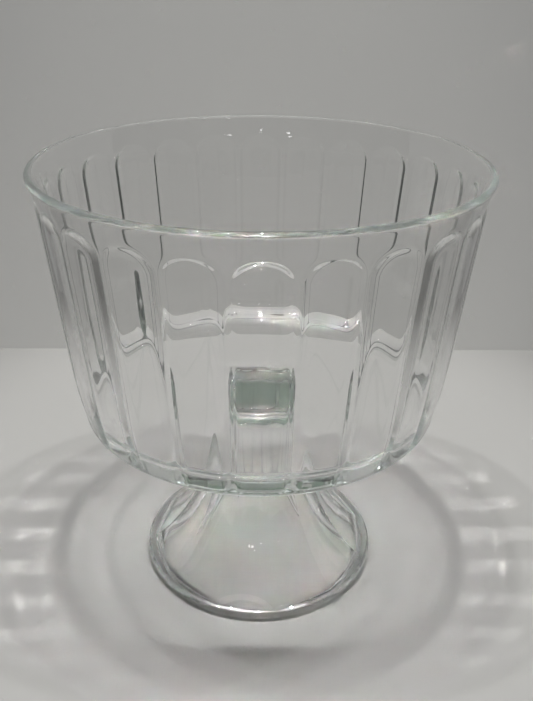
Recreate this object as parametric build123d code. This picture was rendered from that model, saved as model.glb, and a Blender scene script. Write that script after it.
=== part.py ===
"""Footed trifle bowl in clear pressed glass, in millimetres, +Z up, standing on Z = 0.

Two pressings make the object: a reeded bowl with a short post under its floor, and a hollow
pedestal foot with scooped panels. They are fused hot, post to foot, on one flat face.
The reeds are low, rounded uprights with arched tops. One is centred on the front, along -Y.
"""

import os
from math import asin, cos, degrees, exp, pi, radians, sin, sqrt

from build123d import *

# Overall sizes
overall_height = 216.0
rim_radius = 102.0
foot_radius = 61.6
seam_height = 93.0

# Bowl: rounded lip, which bends out from the wall
lip_thickness = 3.4
lip_height = 8.0
lip_flare = 2.1
lip_outer_bend = 55.0
lip_inner_bend = 60.0

# Bowl: wall and heel, measured at the height of the base band
wall_angle = 5.48
wall_thickness = 4.4
heel_height = 32.0
heel_radius = 200.0
base_edge_radius = 3.0

# Bowl: floor, and the post that meets the foot
floor_thickness = 6.0
floor_corner_radius = 9.5
post_length = 3.0
post_fillet_radius = 2.0

# Bowl: a ring of reeds, raised from a wall that lies back from the base band
reed_count = 24
reed_setback = 1.5
reed_height = 1.3
reed_gap = 2.2
reed_crown_radius = 80.0
reed_shoulder_radius = 5.0
reed_root = 1.5
reed_rim_gap = 9.0
sill_length = 1.8

# Foot: the ridges flare as stem_radius plus a width that falls off with height
stem_radius = 20.0
flare_length = 30.3
edge_overhang = 0.5

# Foot: scooped panels between the ridges
panel_count = 12
panel_share = 0.94
section_count = 9
section_crowding = 1.6

# Foot: base ring and hollow
ring_height = 6.0
ring_land_outset = 2.6
ring_land_width = 4.0
foot_wall = 4.5
hollow_roof = 4.0
hollow_corner_radius = 3.0
hollow_overrun = 5.0
hollow_points = 6


def point(radius, height):
    """A point of an axial outline: radius along X, height along Z."""
    return Vector(radius, 0, height)


def polar(radius, angle, height):
    """A point at an angle in degrees round the axis."""
    return Vector(radius * cos(radians(angle)), radius * sin(radians(angle)), height)


# Bowl: the wall line and the heel arc, which the outline and the reeds share
base_height = seam_height + post_length
floor_height = base_height + floor_thickness
wall_up = point(sin(radians(wall_angle)), cos(radians(wall_angle)))
wall_out = point(cos(radians(wall_angle)), -sin(radians(wall_angle)))
wall_top = point(rim_radius - lip_flare, overall_height - lip_height)
wall_drop = wall_top.Z - base_height - heel_height
heel_start = wall_top - wall_up * (wall_drop / cos(radians(wall_angle)))
heel_centre = heel_start - wall_out * heel_radius
edge_drop = heel_centre.Z - base_height - base_edge_radius
edge_angle = degrees(asin(edge_drop / (heel_radius - base_edge_radius)))
groove_foot = heel_start - wall_out * reed_setback
lip_radius = lip_thickness / 2
lip_centre = point(rim_radius - lip_radius, overall_height - lip_radius)


def heel_point(angle, radius=heel_radius):
    """A point on the heel arc, or on one round the same centre, at an angle below level."""
    return heel_centre + point(cos(radians(angle)), -sin(radians(angle))) * radius


def bend_centre(start, radius, reach):
    """Centre of a bend that leaves the line from start up the wall, at reach from the lip's centre."""
    level = start + wall_out * radius
    gap = level - lip_centre
    along = gap.dot(wall_up)
    return level - wall_up * (along + sqrt(along**2 - gap.dot(gap) + reach**2))


# Foot: the flare and the panels
flare_width = (foot_radius - edge_overhang - stem_radius) * exp(ring_height / flare_length)
ridge_angle = 180 / reed_count


def ridge_radius(height):
    """Outer radius of the foot on its ridges."""
    return stem_radius + flare_width * exp(-height / flare_length)


def panel_radius(height):
    """Outer radius in the middle of a panel, which fades to round at the base ring."""
    fade = 1 - (ring_height / height) ** 2
    return ridge_radius(height) * (1 - (1 - panel_share) * fade)


def hollow_radius(height):
    """Inner radius of the foot, one wall thickness in from the panels, square to the flare."""
    slope = flare_width / flare_length * exp(-height / flare_length)
    return panel_radius(height) - foot_wall * sqrt(1 + slope**2)


def round_corners(section, corners):
    """Rounds the corners of a section, given as pairs of a point and a radius."""
    for corner, radius in corners:
        section = fillet(section.vertices().sort_by_distance(corner)[0], radius)
    return section


def bowl_blank():
    """The bowl before its reeds: one revolved outline, with the wall lying back above a sill."""
    seam_centre = point(0, seam_height)
    seam_edge = point(ridge_radius(seam_height), seam_height)
    post_top = point(seam_edge.X, base_height)
    groove_radius = heel_radius - reed_setback
    sill_angle = edge_angle - degrees(sill_length / heel_radius)
    sill_top = heel_point(sill_angle, groove_radius)
    edge_top = heel_point(edge_angle)
    edge_centre = heel_point(edge_angle, heel_radius - base_edge_radius)
    edge_bottom = point(edge_centre.X, base_height)
    edge_middle = edge_centre + (edge_top + edge_bottom - edge_centre * 2).normalized() * base_edge_radius
    inner_top = wall_top - wall_out * wall_thickness
    outer_bend = bend_centre(groove_foot, lip_outer_bend, lip_outer_bend + lip_radius)
    inner_bend = bend_centre(inner_top, lip_inner_bend, lip_inner_bend - lip_radius)
    wall_end = outer_bend - wall_out * lip_outer_bend
    inner_end = inner_bend - wall_out * lip_inner_bend
    lip_start = lip_centre + (outer_bend - lip_centre).normalized() * lip_radius
    lip_end = lip_centre + (lip_centre - inner_bend).normalized() * lip_radius
    lip_crown = lip_centre + point(0, lip_radius)
    floor_edge = inner_end - wall_up * ((inner_end.Z - floor_height) / wall_up.Z)
    floor_centre = point(0, floor_height)
    outline = [
        Line(seam_centre, seam_edge),
        Line(seam_edge, post_top),
        Line(post_top, edge_bottom),
        ThreePointArc(edge_bottom, edge_middle, edge_top),
        Line(edge_top, sill_top),
        ThreePointArc(sill_top, heel_point((wall_angle + sill_angle) / 2, groove_radius), groove_foot),
        Line(groove_foot, wall_end),
        TangentArc(wall_end, lip_start, tangent=wall_up),
        TangentArc(lip_crown, lip_start, tangent=point(1, 0)),
        TangentArc(lip_crown, lip_end, tangent=point(-1, 0)),
        TangentArc(inner_end, lip_end, tangent=wall_up),
        Line(inner_end, floor_edge),
        Line(floor_edge, floor_centre),
        Line(floor_centre, seam_centre),
    ]
    corners = (
        (post_top, post_fillet_radius),
        (floor_edge, floor_corner_radius),
    )
    return revolve(round_corners(make_face(outline), corners), Axis.Z)


def reed_half(wall_radius):
    """Half of a reed's section where the wall has this radius: across along X, out along Y."""
    half_width = wall_radius * sin(pi / reed_count) - reed_gap / 2
    crown_centre = Vector(0, reed_height - reed_crown_radius)
    edge = Vector(half_width, -(half_width**2) / (2 * wall_radius))
    span = edge - crown_centre
    reach = reed_crown_radius - reed_shoulder_radius
    along = (span.length**2 + reach**2 - reed_shoulder_radius**2) / (2 * span.length)
    across = Vector(-span.Y, span.X).normalized() * sqrt(reach**2 - along**2)
    shoulder_centre = crown_centre + span.normalized() * along + across
    crown = Vector(0, reed_height)
    turn = crown_centre + (shoulder_centre - crown_centre).normalized() * reed_crown_radius
    crown_middle = crown_centre + (crown + turn - crown_centre * 2).normalized() * reed_crown_radius
    root_reach = sqrt(reed_shoulder_radius**2 - (reed_root + shoulder_centre.Y) ** 2)
    root = Vector(shoulder_centre.X + root_reach, -reed_root)
    shoulder_way = (turn + root - shoulder_centre * 2).normalized()
    shoulder_middle = shoulder_centre + shoulder_way * reed_shoulder_radius
    root_centre = Vector(0, -reed_root)
    return make_face(
        [
            ThreePointArc(crown, crown_middle, turn),
            ThreePointArc(turn, shoulder_middle, root),
            Line(root, root_centre),
            Line(root_centre, crown),
        ]
    )


def make_reed():
    """One reed on the +X side: it follows the wall and the heel, and has a round top."""
    edge_radius = heel_point(edge_angle, heel_radius - reed_setback).X
    low_half = reed_half(edge_radius)
    nose_rise = (wall_top - heel_start).length - (reed_rim_gap - lip_height)
    nose_drop = wall_top.X * sin(pi / reed_count) - reed_gap / 2
    nose = groove_foot + wall_up * (nose_rise - nose_drop)
    high_half = reed_half(nose.X)
    low_end = Plane(groove_foot, x_dir=(0, -1, 0), z_dir=wall_up)
    high_end = Plane(nose, x_dir=(0, -1, 0), z_dir=wall_up)
    bend_axis = Axis(heel_centre, Vector(0, 1, 0))
    halves = []
    for side in (0, 1):
        low = low_end * (mirror(low_half, Plane.YZ) if side else low_half)
        high = high_end * (mirror(high_half, Plane.YZ) if side else high_half)
        halves.append(loft([low, high]))
        halves.append(revolve(low, bend_axis, edge_angle - wall_angle))
    nose_top = revolve(high_end * high_half, Axis(nose, wall_out * -1), 180)
    return halves[0] + halves[1:] + nose_top


def make_bowl():
    """The bowl with its ring of reeds, every other one in a first turn and the rest in a second."""
    reed = make_reed()
    bowl = bowl_blank()
    for start in (0, 360 / reed_count):
        bowl += [turn * reed for turn in PolarLocations(0, reed_count // 2, start)]
    return bowl


def panel_section(height):
    """A level section of the foot: one arc for each panel, from ridge to ridge."""
    turn = 360 / panel_count
    arcs = []
    for index in range(panel_count):
        start = ridge_angle + index * turn
        arcs.append(
            ThreePointArc(
                polar(ridge_radius(height), start, height),
                polar(panel_radius(height), start + turn / 2, height),
                polar(ridge_radius(height), start + turn, height),
            )
        )
    return make_face(arcs)


def base_ring():
    """The plain rounded band that the foot stands on."""
    land_edge = point(foot_radius - ring_land_outset, 0)
    widest = point(foot_radius, ring_height / 2)
    ring_top = point(ridge_radius(ring_height), ring_height)
    outline = [
        Line(point(0, 0), land_edge),
        ThreePointArc(land_edge, widest, ring_top),
        Line(ring_top, point(0, ring_height)),
        Line(point(0, ring_height), point(0, 0)),
    ]
    return revolve(make_face(outline), Axis.Z)


def foot_hollow():
    """The hollow that the plunger leaves in the foot, open below."""
    mouth_radius = foot_radius - ring_land_outset - ring_land_width
    roof_height = seam_height - hollow_roof
    growth = roof_height / ring_height
    steps = [index / (hollow_points - 1) for index in range(hollow_points)]
    heights = [ring_height * growth**share for share in steps]
    curve = [point(mouth_radius, 0)] + [point(hollow_radius(height), height) for height in heights]
    outline = [
        Line(point(0, -hollow_overrun), point(mouth_radius, -hollow_overrun)),
        Line(point(mouth_radius, -hollow_overrun), curve[0]),
        Spline(curve),
        Line(curve[-1], point(0, roof_height)),
        Line(point(0, roof_height), point(0, -hollow_overrun)),
    ]
    section = round_corners(make_face(outline), [(curve[-1], hollow_corner_radius)])
    return revolve(section, Axis.Z)


def make_foot():
    """The pedestal foot: panelled flare, base ring and hollow."""
    flare_height = seam_height - ring_height
    steps = [(index / (section_count - 1)) ** section_crowding for index in range(section_count)]
    flare = loft([panel_section(ring_height + flare_height * share) for share in steps])
    return flare + base_ring() - foot_hollow()


os.makedirs("parts", exist_ok=True)
export_step(make_bowl(), "parts/bowl.step")
export_step(make_foot(), "parts/pedestal_foot.step")
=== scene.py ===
# %% [markdown]
# # A footed trifle bowl in clear pressed glass
# The real object is two pressings of soda-lime glass: a deep bowl with a ring of raised reeds,
# each with an arched top, and a hollow, flared foot with scooped panels. The two are fused hot
# at the neck. Glass shows nothing but what it bends and mirrors, so this lesson spends its care
# on smooth, exact surfaces, and then on plain surroundings that are worth bending.

from math import atan, atan2, cos, degrees, exp, pi, radians, sin, sqrt

import bmesh
import bpy
from mathutils import Matrix, Vector


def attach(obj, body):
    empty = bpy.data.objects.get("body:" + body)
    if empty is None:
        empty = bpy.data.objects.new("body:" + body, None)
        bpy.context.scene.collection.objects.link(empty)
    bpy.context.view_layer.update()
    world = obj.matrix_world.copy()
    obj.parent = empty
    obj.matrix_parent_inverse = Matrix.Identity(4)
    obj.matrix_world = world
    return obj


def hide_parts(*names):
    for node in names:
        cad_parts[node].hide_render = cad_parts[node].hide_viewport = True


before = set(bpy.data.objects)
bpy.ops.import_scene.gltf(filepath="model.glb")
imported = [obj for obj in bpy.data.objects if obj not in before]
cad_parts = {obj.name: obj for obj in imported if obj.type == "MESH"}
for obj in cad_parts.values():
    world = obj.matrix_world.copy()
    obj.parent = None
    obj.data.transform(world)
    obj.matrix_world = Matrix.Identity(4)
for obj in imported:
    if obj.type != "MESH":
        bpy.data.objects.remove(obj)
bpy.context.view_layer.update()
print("CAD nodes:", sorted(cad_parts))

# %% [markdown]
# ## Sizes
# Both pieces are turned shapes, so a few radii and heights fix them. They are written once,
# in millimetres, and repeat the sizes of the solid model. Blender itself works in metres, so one
# millimetre and one millilitre get a name of their own.

# %% Sizes in millimetres
MM, ML = 0.001, 0.000001
overall_height, rim_radius, foot_radius, seam_height = 216.0, 102.0, 61.6, 93.0
lip_thickness, lip_height, lip_flare = 3.4, 8.0, 2.1
lip_outer_bend, lip_inner_bend = 55.0, 60.0
wall_angle, wall_thickness = 5.48, 4.4
heel_height, heel_radius, base_edge_radius = 32.0, 200.0, 3.0
floor_thickness, floor_corner_radius = 6.0, 9.5
post_length, post_fillet_radius = 3.0, 2.0
reed_count, reed_setback, reed_height, reed_gap = 24, 1.5, 1.3, 2.2
reed_rim_gap, sill_length = 9.0, 1.8
stem_radius, flare_length, edge_overhang = 20.0, 30.3, 0.5
panel_count, panel_share = 12, 0.94
ring_height, ring_land_outset, ring_land_width = 6.0, 2.6, 4.0
foot_wall, hollow_roof, hollow_corner_radius, hollow_blend = 4.5, 4.0, 3.0, 11.0
print("rim", 2 * rim_radius, "mm across,", overall_height, "mm tall")

# %% [markdown]
# ## The outline of the bowl
# A turned piece is drawn as half a section: radius across, height up. The helpers below lay
# points on straight runs and arcs. Every point also tells of the relief there: how high a reed
# stands, how far its round top has risen, how far the surface has already come out to meet the
# reed, and which way the reed rises. The reeds themselves come later, in one node tree.

# %% Helpers for an outline


def spot(radius, height):
    """A point of the section: radius and height in millimetres."""
    return Vector((radius, height))


def heading(angle):
    """The direction at an angle in degrees above level, pointing out from the axis."""
    return spot(cos(radians(angle)), sin(radians(angle)))


def run(start, end, steps):
    """Points on a straight run, both ends included."""
    return [start.lerp(end, index / steps) for index in range(steps + 1)]


def arc(centre, radius, start, end, steps):
    """Points on an arc between two angles in degrees, both ends included."""
    angles = [start + (end - start) * index / steps for index in range(steps + 1)]
    return [centre + heading(angle) * radius for angle in angles]


def angle_of(direction):
    """The angle of a direction, in degrees above level."""
    return degrees(atan2(direction.y, direction.x))


def plain(points):
    """Rows of the outline without any relief."""
    return [(point, (0.0, 0.0, 0.0), spot(0, 0)) for point in points]


# %% The bowl's fixed points
base_height = seam_height + post_length
floor_height = base_height + floor_thickness
wall_up, wall_out = heading(90 - wall_angle), heading(-wall_angle)
wall_top = spot(rim_radius - lip_flare, overall_height - lip_height)
heel_start = wall_top - wall_up * ((wall_top.y - base_height - heel_height) / wall_up.y)
heel_centre = heel_start - wall_out * heel_radius
groove_foot = heel_start - wall_out * reed_setback
lip_radius = lip_thickness / 2
lip_centre = spot(rim_radius - lip_radius, overall_height - lip_radius)
flare_width = (foot_radius - edge_overhang - stem_radius) * exp(ring_height / flare_length)


def ridge_radius(height):
    """Outer radius of the foot on its ridges."""
    return stem_radius + flare_width * exp(-height / flare_length)


def meet(start, along, centre, reach, side):
    """Where the line from start meets a circle: the first crossing for side -1, the last for +1."""
    gap = start - centre
    middle = gap.dot(along)
    return start + along * (side * sqrt(middle**2 - gap.dot(gap) + reach**2) - middle)


post_radius = ridge_radius(seam_height)
edge_start = spot(post_radius, base_height + base_edge_radius)
edge_centre = meet(edge_start, spot(1, 0), heel_centre, heel_radius - base_edge_radius, 1)
edge_angle = angle_of(edge_centre - heel_centre)
print("base edge at radius", round(edge_centre.x, 1), "mm, height", round(base_height, 1), "mm")

# %% The reeds' round tops
nose_rise = (wall_top - heel_start).length - (reed_rim_gap - lip_height)
nose_drop = wall_top.x * sin(pi / reed_count) - reed_gap / 2
nose = groove_foot + wall_up * (nose_rise - nose_drop)
arch_height = nose.x * sin(pi / reed_count) - reed_gap / 2
reed_share = arch_height / (nose.x * 2 * pi / reed_count)
print("reeds", round(2 * arch_height, 1), "mm wide, tops at", round(nose.y + arch_height, 1), "mm")

# %% From the seam out under the floor, round the edge and up the sill and the heel
fillet_centre = spot(post_radius, base_height) + spot(post_fillet_radius, -post_fillet_radius)
seam_radius = post_radius * panel_share
bowl_rows = plain([spot(0, seam_height), spot(seam_radius, seam_height), spot(post_radius, seam_height)])
fillet_steps, edge_steps, sill_steps, heel_steps = 5, 9, 5, 6
bowl_rows += plain(arc(fillet_centre, post_fillet_radius, 180, 90, fillet_steps))
bowl_rows += plain(arc(edge_centre, base_edge_radius, -90, edge_angle, edge_steps))

sill_angle = edge_angle + degrees(sill_length / heel_radius)
for index in range(1, sill_steps + 1):
    out = heading(edge_angle + (sill_angle - edge_angle) * index / sill_steps)
    left = reed_setback * (1 + cos(pi * index / sill_steps)) / 2
    point = heel_centre + out * (heel_radius - reed_setback + left)
    bowl_rows.append((point, (reed_height, 0.0, left), out))
for index in range(1, heel_steps + 1):
    out = heading(sill_angle + (-wall_angle - sill_angle) * index / heel_steps)
    point = heel_centre + out * (heel_radius - reed_setback)
    bowl_rows.append((point, (reed_height, 0.0, 0.0), out))
print("up to the heel:", len(bowl_rows), "rows")

# %% Up the wall, over the lip and down inside
bend_line = groove_foot + wall_out * lip_outer_bend
outer_bend = meet(bend_line, wall_up, lip_centre, lip_outer_bend + lip_radius, -1)
inner_top = wall_top - wall_out * wall_thickness
inner_line = inner_top + wall_out * lip_inner_bend
inner_bend = meet(inner_line, wall_up, lip_centre, lip_inner_bend - lip_radius, -1)
lip_start, lip_stop = angle_of(outer_bend - lip_centre), angle_of(lip_centre - inner_bend)
wall_end = outer_bend - wall_out * lip_outer_bend
wall_steps, bend_steps = 6, 30
wall_points = run(groove_foot, wall_end, wall_steps)[1:]
wall_points += arc(outer_bend, lip_outer_bend, 180 - wall_angle, 180 + lip_start, bend_steps)[1:]
for point in wall_points:
    risen = max(0.0, (point - nose).dot(wall_up)) / arch_height
    flared = (point - groove_foot).dot(wall_out)
    bowl_rows.append((point, (reed_height, risen**2, flared), wall_out))

lip_steps, inner_bend_steps, inner_wall_steps, corner_steps = 11, 6, 4, 10
inner_end = inner_bend - wall_out * lip_inner_bend
bowl_rows += plain(arc(lip_centre, lip_radius, lip_start, lip_stop, lip_steps)[1:])
bowl_rows += plain(arc(inner_bend, lip_inner_bend, lip_stop, 180 - wall_angle, inner_bend_steps)[1:])
corner_height = floor_height + floor_corner_radius
inner_at_corner = inner_end - wall_up * ((inner_end.y - corner_height) / wall_up.y)
corner_centre = inner_at_corner - spot(floor_corner_radius / wall_up.y, 0)
corner_top = corner_centre + wall_out * floor_corner_radius
bowl_rows += plain(run(inner_end, corner_top, inner_wall_steps)[1:-1])
bowl_rows += plain(arc(corner_centre, floor_corner_radius, -wall_angle, -90, corner_steps))
bowl_rows += plain([spot(corner_centre.x / 2, floor_height), spot(0, floor_height)])
print("bowl outline:", len(bowl_rows), "rows; wall bends out at", round(wall_end.y, 1), "mm")

# %% [markdown]
# ## The outline of the foot
# The foot flares like a trumpet, which an exponential follows well. Its panels are scooped
# between sharp ridges, which run from the neck down and fade at the base ring. Underneath, the
# press's plunger leaves a smooth hollow, one wall thickness in from the panels.

# %% The foot's panels and hollow
panel_fade_power, slope_step = 2, 0.5


def panel_depth(height):
    """How far the middle of a panel lies inside the ridges."""
    fade = 1 - (ring_height / height) ** panel_fade_power
    return ridge_radius(height) * (1 - panel_share) * fade


def hollow_radius(height):
    """Inner radius of the foot, one wall thickness in from the panels, square to the flare."""
    slope = flare_width / flare_length * exp(-height / flare_length)
    return ridge_radius(height) - panel_depth(height) - foot_wall * sqrt(1 + slope**2)


def hollow_slope(height):
    """Change of the hollow's radius with height."""
    change = hollow_radius(height + slope_step) - hollow_radius(height - slope_step)
    return change / (2 * slope_step)


# %% From the hollow's roof down to the mouth
roof_height = seam_height - hollow_roof
roof_corner = roof_height - hollow_corner_radius
roof_lean = atan(-hollow_slope(roof_corner))
touch_height = roof_corner + hollow_corner_radius * sin(roof_lean)
roof_reach = hollow_radius(touch_height) - hollow_corner_radius * cos(roof_lean)
roof_centre = spot(roof_reach, roof_corner)
foot_rows = plain([spot(0, roof_height), spot(roof_reach, roof_height)])
roof_steps, hollow_steps, mouth_steps = 8, 14, 6
foot_rows += plain(arc(roof_centre, hollow_corner_radius, 90, degrees(roof_lean), roof_steps)[1:])

for index in range(1, hollow_steps + 1):
    height = touch_height * (hollow_blend / touch_height) ** (index / hollow_steps)
    foot_rows += plain([spot(hollow_radius(height), height)])

mouth_radius = foot_radius - ring_land_outset - ring_land_width
for index in range(mouth_steps - 1, -1, -1):
    share = index / mouth_steps
    ease = share**2 * (3 - 2 * share)
    swing = hollow_slope(hollow_blend) * hollow_blend * share**2 * (share - 1)
    radius = mouth_radius + (hollow_radius(hollow_blend) - mouth_radius) * ease + swing
    foot_rows += plain([spot(radius, hollow_blend * share)])

# %% Round the base ring and up the flare
land_edge = spot(foot_radius - ring_land_outset, 0)
ring_top = spot(ridge_radius(ring_height), ring_height)
ring_bulge = foot_radius - (land_edge.x + ring_top.x) / 2
half_chord = (ring_top - land_edge).length / 2
ring_radius = (half_chord**2 + ring_bulge**2) / (2 * ring_bulge)
chord_out = spot(ring_height, land_edge.x - ring_top.x).normalized()
ring_centre = (land_edge + ring_top) / 2 - chord_out * (ring_radius - ring_bulge)
ring_angles = angle_of(land_edge - ring_centre), angle_of(ring_top - ring_centre)
ring_steps, flare_steps, cap_inset = 8, 30, 0.2
foot_rows += plain(arc(ring_centre, ring_radius, *ring_angles, ring_steps))

for index in range(1, flare_steps + 1):
    height = ring_height * (seam_height / ring_height) ** (index / flare_steps)
    relief = (panel_depth(height), 0.0, 0.0)
    foot_rows.append((spot(ridge_radius(height), height), relief, spot(-1, 0)))
foot_rows += plain([spot(seam_radius - cap_inset, seam_height), spot(0, seam_height)])
print("foot outline:", len(foot_rows), "rows")

# %% [markdown]
# ## One node tree that turns an outline and gives it relief
# Both pieces follow the same rule: turn the outline round the axis, and repeat one form round it,
# a reed that stands out or a panel that lies in. That suits Geometry Nodes: a grid has one row
# for each outline point and many columns round, and arithmetic on each vertex finds its place.
# The arithmetic is a list of sums: each line names its result, then what is done, then what goes in.
# Columns crowd together between the forms, where the surface turns fastest. A soft maximum,
# instead of a plain join, leaves the edges slightly rounded, as fire polishing leaves them.

# %% A helper that adds one node


def add_node(tree, kind, inputs=None, **settings):
    """Adds a node, sets its properties, and links or sets its inputs."""
    node = tree.nodes.new(kind)
    for name, value in settings.items():
        setattr(node, name, value)
    for key, value in (inputs or {}).items():
        if isinstance(value, bpy.types.NodeSocket):
            tree.links.new(value, node.inputs[key])
        else:
            node.inputs[key].default_value = value
    return node


# %% The tree and its inputs
turning = bpy.data.node_groups.new("Turned with relief", "GeometryNodeTree")
turning.interface.new_socket("Geometry", in_out="OUTPUT", socket_type="NodeSocketGeometry")
socket_kinds = {
    "Geometry": "NodeSocketGeometry",
    "Columns": "NodeSocketInt",
    "Repeats": "NodeSocketInt",
    "Share of Pitch": "NodeSocketFloat",
    "Fullness": "NodeSocketFloat",
    "Softness": "NodeSocketFloat",
    "Crowding": "NodeSocketFloat",
    "Turn": "NodeSocketFloat",
    "Seam Height": "NodeSocketFloat",
    "Seam Radius": "NodeSocketFloat",
    "Glass": "NodeSocketMaterial",
    "Seam": "NodeSocketMaterial",
}
for name, kind in socket_kinds.items():
    turning.interface.new_socket(name, in_out="INPUT", socket_type=kind)
given = add_node(turning, "NodeGroupInput").outputs
print("tree inputs:", list(socket_kinds))

# %% A grid with a row for each outline point
place = add_node(turning, "GeometryNodeInputPosition").outputs[0]
vertex = add_node(turning, "GeometryNodeInputIndex").outputs[0]
counts = add_node(turning, "GeometryNodeAttributeDomainSize", {0: given["Geometry"]})
closing = {0: given["Columns"], 1: 1}
around = add_node(turning, "FunctionNodeIntegerMath", closing, operation="ADD").outputs[0]
grid_sizes = {
    "Size X": 1.0,
    "Size Y": 1.0,
    "Vertices X": counts.outputs["Point Count"],
    "Vertices Y": around,
}
grid = add_node(turning, "GeometryNodeMeshGrid", grid_sizes).outputs["Mesh"]
in_rows = {0: vertex, 1: around}
row = add_node(turning, "FunctionNodeIntegerMath", in_rows, operation="DIVIDE_FLOOR").outputs[0]

# %% What each vertex knows: the tree's inputs, its own place and the facts of its row
facts, vectors = {"place": place}, {"data_type": "FLOAT_VECTOR"}
for name in ("outline", "relief", "way"):
    value = place
    if name != "outline":
        stored = add_node(turning, "GeometryNodeInputNamedAttribute", {"Name": name}, **vectors)
        value = stored.outputs[0]
    of_row = {"Geometry": given["Geometry"], "Value": value, "Index": row}
    sample = add_node(turning, "GeometryNodeSampleIndex", of_row, domain="POINT", **vectors)
    facts[name] = sample.outputs[0]

known = {socket.name: socket for socket in given}
for name, vector in facts.items():
    for part in add_node(turning, "ShaderNodeSeparateXYZ", {0: vector}).outputs:
        known[name + " " + part.name] = part
print("facts:", list(facts))

# %% Where each column stands, crowded towards the edges of the forms
# The grid is one across and centred, so adding half makes it run from nought to one.
half = 0.5
sums = [
    ("share round", "ADD", "place Y", half),
    ("counted", "MULTIPLY", "share round", "Repeats"),
    ("past edge", "FRACT", "counted"),
    ("even", "SUBTRACT", "past edge", half),
    ("even angle", "MULTIPLY", "even", 2 * pi),
    ("wave", "SINE", "even angle"),
    ("crowd", "DIVIDE", "Crowding", 2 * pi),
    ("across", "MULTIPLY_ADD", "wave", "crowd", "even"),
    ("whole", "FLOOR", "counted"),
    ("middle", "ADD", "whole", half),
    ("stand", "ADD", "middle", "across"),
    ("pitch", "DIVIDE", 2 * pi, "Repeats"),
    ("angle", "MULTIPLY_ADD", "stand", "pitch", "Turn"),
]

# %% How high or deep the form is, with a soft edge
sums += [
    ("of width", "DIVIDE", "across", "Share of Pitch"),
    ("from middle", "MULTIPLY_ADD", "of width", "of width", "relief Y"),
    ("lost", "POWER", "from middle", "Fullness"),
    ("full", "SUBTRACT", 1.0, "lost"),
    ("rise", "MULTIPLY", "full", "relief X"),
    ("above", "SUBTRACT", "rise", "relief Z"),
    ("softness square", "MULTIPLY", "Softness", "Softness"),
    ("soft square", "MULTIPLY_ADD", "above", "above", "softness square"),
    ("soft", "SQRT", "soft square"),
    ("twice", "ADD", "above", "soft"),
    ("offset", "MULTIPLY", "twice", half),
]

# %% The turned place of each vertex
sums += [
    ("radius", "MULTIPLY_ADD", "offset", "way X", "outline X"),
    ("height", "MULTIPLY_ADD", "offset", "way Z", "outline Z"),
    ("cosine", "COSINE", "angle"),
    ("sine", "SINE", "angle"),
    ("east", "MULTIPLY", "radius", "cosine"),
    ("north", "MULTIPLY", "radius", "sine"),
]

# %% Which faces are fused
seam_reach = 0.001 * MM
sums += [
    ("at height", "COMPARE", "place Z", "Seam Height", seam_reach),
    ("depth square", "MULTIPLY", "place Y", "place Y"),
    ("reach square", "MULTIPLY_ADD", "place X", "place X", "depth square"),
    ("reach", "SQRT", "reach square"),
    ("inside", "LESS_THAN", "reach", "Seam Radius"),
    ("at seam", "MULTIPLY", "at height", "inside"),
]

# %% One Math node for each sum
for result, operation, *values in sums:
    inputs = {index: known.get(value, value) for index, value in enumerate(values)}
    known[result] = add_node(turning, "ShaderNodeMath", inputs, operation=operation).outputs[0]
print("sums:", len(sums))

# %% A closed, smooth mesh of glass, with the fused faces marked
merge_reach = 0.002 * MM
turned = {"X": known["east"], "Y": known["north"], "Z": known["height"]}
new_place = add_node(turning, "ShaderNodeCombineXYZ", turned).outputs[0]
finishing = (
    ("GeometryNodeSetPosition", {"Position": new_place}),
    ("GeometryNodeMergeByDistance", {"Distance": merge_reach}),
    ("GeometryNodeSetShadeSmooth", {}),
    ("GeometryNodeRealizeInstances", {}),
    ("GeometryNodeSetMaterial", {"Material": given["Glass"]}),
    ("GeometryNodeSetMaterial", {"Selection": known["at seam"], "Material": given["Seam"]}),
)
mesh_out = grid
for kind, inputs in finishing:
    mesh_out = add_node(turning, kind, {0: mesh_out, **inputs}).outputs[0]
add_node(turning, "NodeGroupOutput", {0: mesh_out})
print("tree nodes:", len(turning.nodes))

# %% [markdown]
# ## The glass
# Pressed soda-lime glass is water-clear in a thin wall. Its trace of iron shows only where light
# travels far inside it, along the rim and down in the thick neck, as a grey green. So the
# colour belongs inside the body, as an absorbing volume, and the surface stays clear.
# Pressing leaves the skin very slightly wavy, since the mould chills it, and fire polishing then
# makes it bright: a broad, very shallow bump and no roughness.

# %% Colours and the glass itself


def linear(code):
    """An sRGB hex colour as linear red, green, blue and alpha."""
    channels = [int(code[index : index + 2], 16) / 255 for index in (1, 3, 5)]
    return [c / 12.92 if c <= 0.04045 else ((c + 0.055) / 1.055) ** 2.4 for c in channels] + [1.0]


glass = bpy.data.materials.new("pressed soda-lime glass")
glass.use_nodes = True
body = glass.node_tree
body.nodes.clear()
coordinates = add_node(body, "ShaderNodeTexCoord").outputs["Object"]
chill_wave, chill_depth = 22 * MM, 0.03 * MM
noise_sizes = {"Vector": coordinates, "Scale": 1 / chill_wave, "Detail": 1.0}
waves = add_node(body, "ShaderNodeTexNoise", noise_sizes).outputs[0]
bump_sizes = {"Height": waves, "Strength": 1.0, "Distance": chill_depth}
skin = add_node(body, "ShaderNodeBump", bump_sizes).outputs[0]
polish = {
    "Base Color": linear("#ffffff"),
    "Roughness": 0.0,
    "IOR": 1.52,
    "Transmission Weight": 1.0,
    "Normal": skin,
}
surface = add_node(body, "ShaderNodeBsdfPrincipled", polish).outputs[0]
tint = {"Color": linear("#b4cabd"), "Density": 1.6}
inside = add_node(body, "ShaderNodeVolumeAbsorption", tint).outputs[0]
add_node(body, "ShaderNodeOutputMaterial", {"Surface": surface, "Volume": inside})
print("waves of the skin:", round(chill_wave / MM), "mm long,", round(chill_depth / MM, 3), "mm deep")

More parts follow.
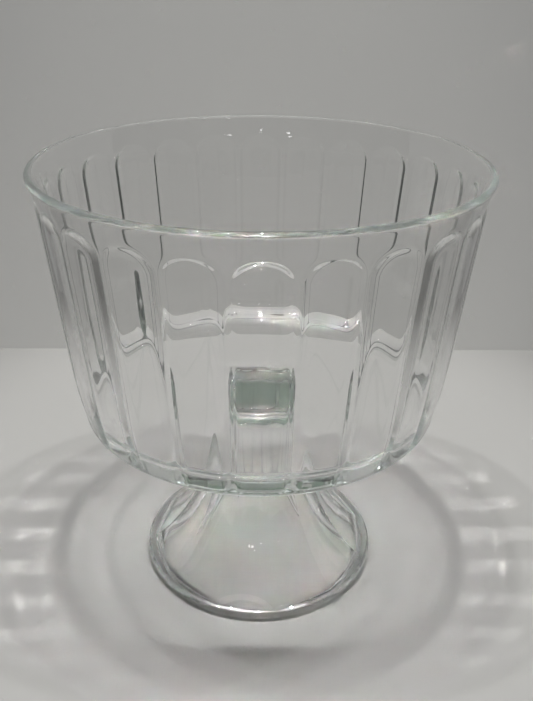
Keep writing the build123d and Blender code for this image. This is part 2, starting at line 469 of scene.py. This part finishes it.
# %% [markdown]
# ## The fused seam
# Bowl and foot meet on a round face. Once fused, light passes there as if there were no face at
# all, so that face gets a clear shader of its own, with no bend and no mirror, and the same
# absorbing glass on both sides.

# %% The seam's finish
seam = bpy.data.materials.new("fused glass seam")
seam.use_nodes = True
seam.node_tree.nodes.clear()
clear = add_node(seam.node_tree, "ShaderNodeBsdfTransparent", {"Color": linear("#ffffff")}).outputs[0]
add_node(seam.node_tree, "ShaderNodeOutputMaterial", {"Surface": clear})
print("materials:", glass.name, "and", seam.name)

# %% [markdown]
# ## Making the two pieces
# The outline goes in as a string of vertices that carry their facts as attributes. The tree turns
# it and gives it relief, and the result is kept as a plain mesh. Turning can leave the faces inside
# out, so the normals are worked out again once the shape is closed. Only true corners stay sharp.

# %% From an outline to a piece
sharp_angle = radians(45)


def outline_object(name, outline):
    """An object whose mesh is the outline, with the facts of each row as attributes."""
    points = [(point.x * MM, 0.0, point.y * MM) for point, _, _ in outline]
    mesh = bpy.data.meshes.new(name)
    mesh.from_pydata(points, [(index, index + 1) for index in range(len(points) - 1)], [])
    relief = mesh.attributes.new("relief", "FLOAT_VECTOR", "POINT")
    way = mesh.attributes.new("way", "FLOAT_VECTOR", "POINT")
    for index, (_, (full, risen, back), direction) in enumerate(outline):
        relief.data[index].vector = (full * MM, risen, back * MM)
        way.data[index].vector = (direction.x, 0.0, direction.y)
    made = bpy.data.objects.new(name, mesh)
    bpy.context.scene.collection.objects.link(made)
    return made


def make_piece(name, outline, sizes):
    """Turns an outline, gives it relief, and keeps the result as a plain closed mesh."""
    piece = outline_object(name, outline)
    modifier = piece.modifiers.new("turning", "NODES")
    modifier.node_group = turning
    for item in turning.interface.items_tree:
        if item.in_out == "INPUT" and item.name in sizes:
            modifier[item.identifier] = sizes[item.name]
    evaluated = piece.evaluated_get(bpy.context.evaluated_depsgraph_get())
    mesh = bpy.data.meshes.new_from_object(evaluated)
    piece.modifiers.remove(modifier)
    piece.data = mesh
    shape = bmesh.new()
    shape.from_mesh(mesh)
    bmesh.ops.recalc_face_normals(shape, faces=shape.faces)
    loose = sum(1 for edge in shape.edges if not edge.is_manifold)
    volume = shape.calc_volume(signed=True)
    triangles = sum(len(face.verts) - 2 for face in shape.faces)
    shape.to_mesh(mesh)
    shape.free()
    mesh.set_sharp_from_angle(angle=sharp_angle)
    print(name, "triangles", triangles, "open edges", loose, "volume ml", round(volume / ML, 1))
    return piece


# %% The bowl
columns_per_reed = 40
shared_sizes = {
    "Crowding": 0.55,
    "Seam Height": seam_height * MM,
    "Seam Radius": seam_radius * MM,
    "Glass": glass,
    "Seam": seam,
}
bowl_sizes = {
    "Columns": reed_count * columns_per_reed,
    "Repeats": reed_count,
    "Share of Pitch": reed_share,
    "Fullness": 3.3,
    "Softness": 0.35 * MM,
    "Turn": -pi / reed_count,
}
pressed_bowl = make_piece("pressed_bowl", bowl_rows, {**bowl_sizes, **shared_sizes})
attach(pressed_bowl, "root")
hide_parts("bowl")

# %% The foot
columns_per_panel = 80
foot_sizes = {
    "Columns": panel_count * columns_per_panel,
    "Repeats": panel_count,
    "Share of Pitch": half,
    "Fullness": 1.0,
    "Softness": 0.1 * MM,
    "Turn": pi / reed_count,
}
pressed_foot = make_piece("pressed_foot", foot_rows, {**foot_sizes, **shared_sizes})
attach(pressed_foot, "root")
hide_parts("pedestal_foot")

# %% [markdown]
# ## The stage
# Clear glass needs something plain to bend: a pale table, and a grey backdrop close behind, which
# shows only from the front so that a camera behind it still sees the bowl. The backdrop glows
# a little, painted light that stands in for a lamp washing it, so that it stays even behind the glass.

# %% Floor and backdrop


def stage_plane(name, colour, corners, roughness):
    """A plain matt plane of the stage."""
    mesh = bpy.data.meshes.new(name)
    mesh.from_pydata(corners, [], [(0, 1, 2, 3)])
    made = bpy.data.objects.new(name, mesh)
    bpy.context.scene.collection.objects.link(made)
    paint = bpy.data.materials.new(name + " paint")
    paint.use_nodes = True
    matt = paint.node_tree.nodes["Principled BSDF"].inputs
    matt["Base Color"].default_value = linear(colour)
    matt["Roughness"].default_value = roughness
    mesh.materials.append(paint)
    return made


side, backdrop_place, backdrop_height, backdrop_glow = 3.0, 0.236, 1.2, 0.18
floor_sides = ((-side, -side), (side, -side), (side, side), (-side, side))
backdrop_sides = ((-side, 0), (side, 0), (side, backdrop_height), (-side, backdrop_height))
floor_corners = [(x, y, 0) for x, y in floor_sides]
backdrop_corners = [(x, backdrop_place, z) for x, z in backdrop_sides]
stage_plane("floor", "#acaba8", floor_corners, roughness=0.5)
backdrop = stage_plane("backdrop", "#a9a8a2", backdrop_corners, roughness=0.6)
paint = backdrop.data.materials[0].node_tree
painted = paint.nodes["Principled BSDF"]
# Painted light: the backdrop's own glow stands in for a lamp that washes the wall.
painted.inputs["Emission Color"].default_value = linear("#ffffff")
painted.inputs["Emission Strength"].default_value = backdrop_glow
behind = add_node(paint, "ShaderNodeNewGeometry").outputs["Backfacing"]
unseen = add_node(paint, "ShaderNodeBsdfTransparent").outputs[0]
sides = {0: behind, 1: painted.outputs[0], 2: unseen}
one_sided = add_node(paint, "ShaderNodeMixShader", sides).outputs[0]
paint.links.new(one_sided, paint.nodes["Material Output"].inputs["Surface"])
print("backdrop", backdrop_place, "m behind the bowl's axis")

# %% [markdown]
# ## Light
# Five small ceiling lamps throw a pool of light straight down on the bowl: it gives the rings of
# light and shade on the table. Beyond the pool the table falls into shade and the room stays dim,
# and the rim and the grooves bend that into view as grey-green lines. A broad, weak lamp fills the
# shadows, and three weak ones in front show as specks in the far wall.

# %% Lamps and the dim room
pool, ceiling, lamp_line = Vector((0, 0.06, 0.05)), 1.8, -0.05


def hang(name, kind, places, **settings):
    """Hangs lamps of one kind at some places, all looking at the middle of the pool of light."""
    data = bpy.data.lights.new(name, kind)
    for setting, value in settings.items():
        setattr(data, setting, value)
    for place in places:
        made = bpy.data.objects.new(name, data)
        made.location = place
        made.rotation_euler = (pool - Vector(place)).to_track_quat("-Z", "Y").to_euler()
        bpy.context.scene.collection.objects.link(made)


ceiling_places = [(across, lamp_line, ceiling) for across in (-0.45, -0.22, 0.0, 0.25, 0.45)]
beam = {"spot_size": radians(24), "spot_blend": 0.8, "shadow_soft_size": 0.025}
hang("ceiling lamp", "SPOT", ceiling_places, energy=23.0, **beam)
hang("broad lamp", "AREA", [(0.0, -0.2, 1.6)], energy=6.0, size=1.2)
front_places = [(-0.6, -2.0, 0.9), (0.0, -2.0, 1.0), (0.7, -2.0, 0.8)]
hang("front lamp", "AREA", front_places, energy=0.25, size=0.06)

world = bpy.data.worlds.new("dim room")
world.use_nodes = True
room = world.node_tree.nodes["Background"].inputs
room["Color"].default_value = linear("#222324")
room["Strength"].default_value = 1.0
bpy.context.scene.world = world
print("lamps:", len(ceiling_places), "on the ceiling,", len(front_places), "in front, 1 broad")

# %% [markdown]
# ## The camera
# A fit of the rim, the foot and the bowl's edge in the photograph gives the place of the camera
# relative to the bowl, in rim radii, its three turns in radians, and its focal length in pixels.

# %% The camera at the photograph's angle
image_width, image_height, focal_pixels = 533, 701, 784.1
pitch_down, yaw, roll = 0.47572, 0.00903, -0.01196
rims_back, rims_up = 3.40646, 2.93650
camera_back, camera_height = rims_back * rim_radius, rims_up * rim_radius
around = radians(-0.5)
camera_data = bpy.data.cameras.new("camera")
camera_data.sensor_width = 36.0
camera_data.lens = focal_pixels * camera_data.sensor_width / max(image_width, image_height)
camera = bpy.data.objects.new("camera", camera_data)
bpy.context.scene.collection.objects.link(camera)
tilt = Matrix.Rotation(roll, 3, "Z") @ Matrix.Rotation(pitch_down, 3, "X") @ Matrix.Rotation(yaw, 3, "Y")
upright = Matrix(((1, 0, 0), (0, 0, 1), (0, -1, 0)))
turned_camera = (tilt @ upright).transposed().to_4x4()
stand = Matrix.Translation((0, -camera_back * MM, camera_height * MM))
camera.matrix_world = Matrix.Rotation(around, 4, "Z") @ stand @ turned_camera
bpy.context.scene.camera = camera
print("lens", round(camera_data.lens, 2), "mm")

# %% [markdown]
# ## Finish
# Light is piped round the rim and in and out of many walls before it reaches the eye, so the paths
# are allowed to be very long, and guiding helps them find the small lamps through the glass.

# %% Long light paths and the end
cycles = bpy.context.scene.cycles
cycles.max_bounces = cycles.transmission_bounces = cycles.glossy_bounces = 160
cycles.transparent_max_bounces = 16
cycles.sample_clamp_indirect = cycles.blur_glossy = 0.0
cycles.use_guiding = cycles.use_surface_guiding = True
cycles.guiding_training_samples = 64
bpy.context.scene.view_settings.view_transform = "Standard"
